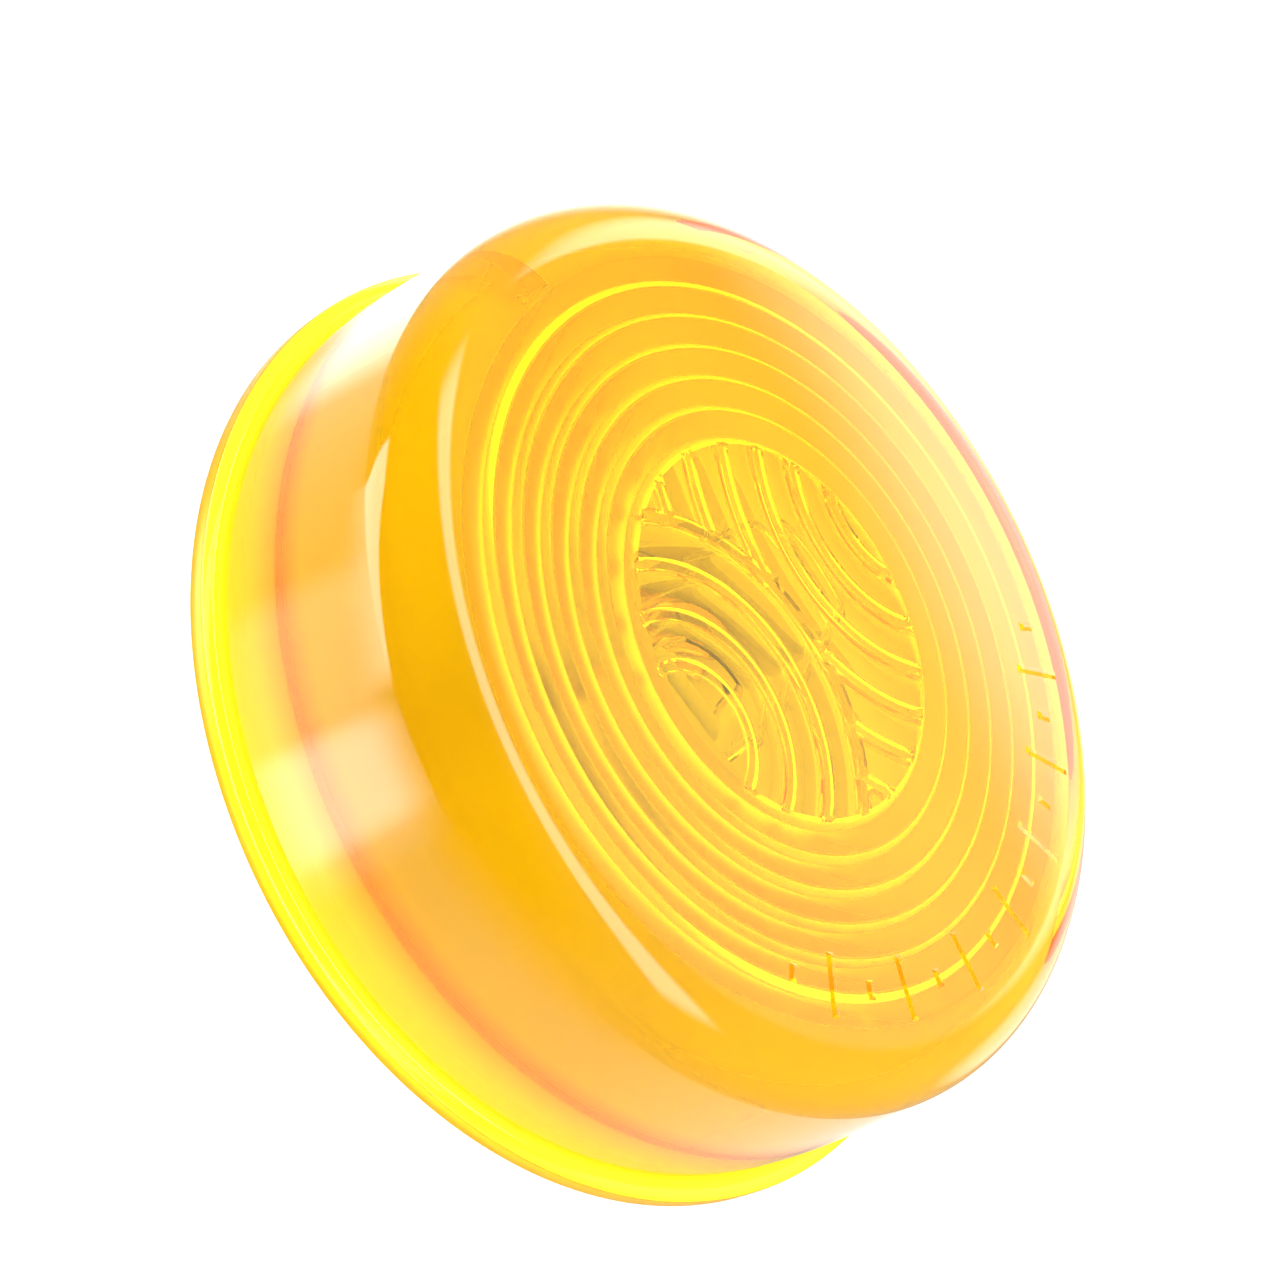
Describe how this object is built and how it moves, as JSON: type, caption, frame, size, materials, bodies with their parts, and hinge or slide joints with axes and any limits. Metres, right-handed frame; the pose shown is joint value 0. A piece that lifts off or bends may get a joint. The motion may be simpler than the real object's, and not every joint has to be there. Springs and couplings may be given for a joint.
{
  "type": "sealed marker lamp",
  "caption": "Round sealed marker lamp with an amber cup lens, ring and flute optics, a mounting flange, a rear pan and a recessed plug receptacle.",
  "frame": {"origin": "centre of the rear pan's flat back face, which is the centre of the bottom of the lamp as it lies face up", "axes": "+Z along the lamp's axis towards the lens face; +X across the plug receptacle from the left contact pin to the right one, and from the bulb's base to its tip; +Y towards the lens's locating rib"},
  "size_m": [0.0635, 0.0634, 0.0258],
  "materials": {
    "amber_lens": "clear gloss, moulded",
    "white_housing": "satin, moulded",
    "clear_glass": "clear",
    "bead_glass": "clear",
    "tungsten": "fine wire",
    "lead_wire": "drawn wire",
    "socket_nylon": "satin, moulded",
    "zinc_steel": "zinc plated",
    "silicone": "soft, translucent white",
    "brass_strip": "stamped",
    "brass_pin": "turned",
    "seal_rubber": "moulded",
    "solder": "bright, cast"
  },
  "bodies": {
    "root": {"lens": "amber_lens", "rear_housing": "white_housing", "bulb_glass": "clear_glass", "bulb_bead": "bead_glass", "filament": "tungsten", "lead_wire_left": "lead_wire", "lead_wire_right": "lead_wire", "bulb_socket": "socket_nylon", "socket_screws": "zinc_steel", "shock_grommets": "silicone", "bulb_cushion": "silicone", "contact_strip_left": "brass_strip", "contact_strip_right": "brass_strip", "contact_pin_left": "brass_pin", "contact_pin_right": "brass_pin", "pin_seal_left": "seal_rubber", "pin_seal_right": "seal_rubber", "rivet_washer_left": "zinc_steel", "rivet_washer_right": "zinc_steel", "solder_left": "solder", "solder_right": "solder"}
  },
  "joints": []
}
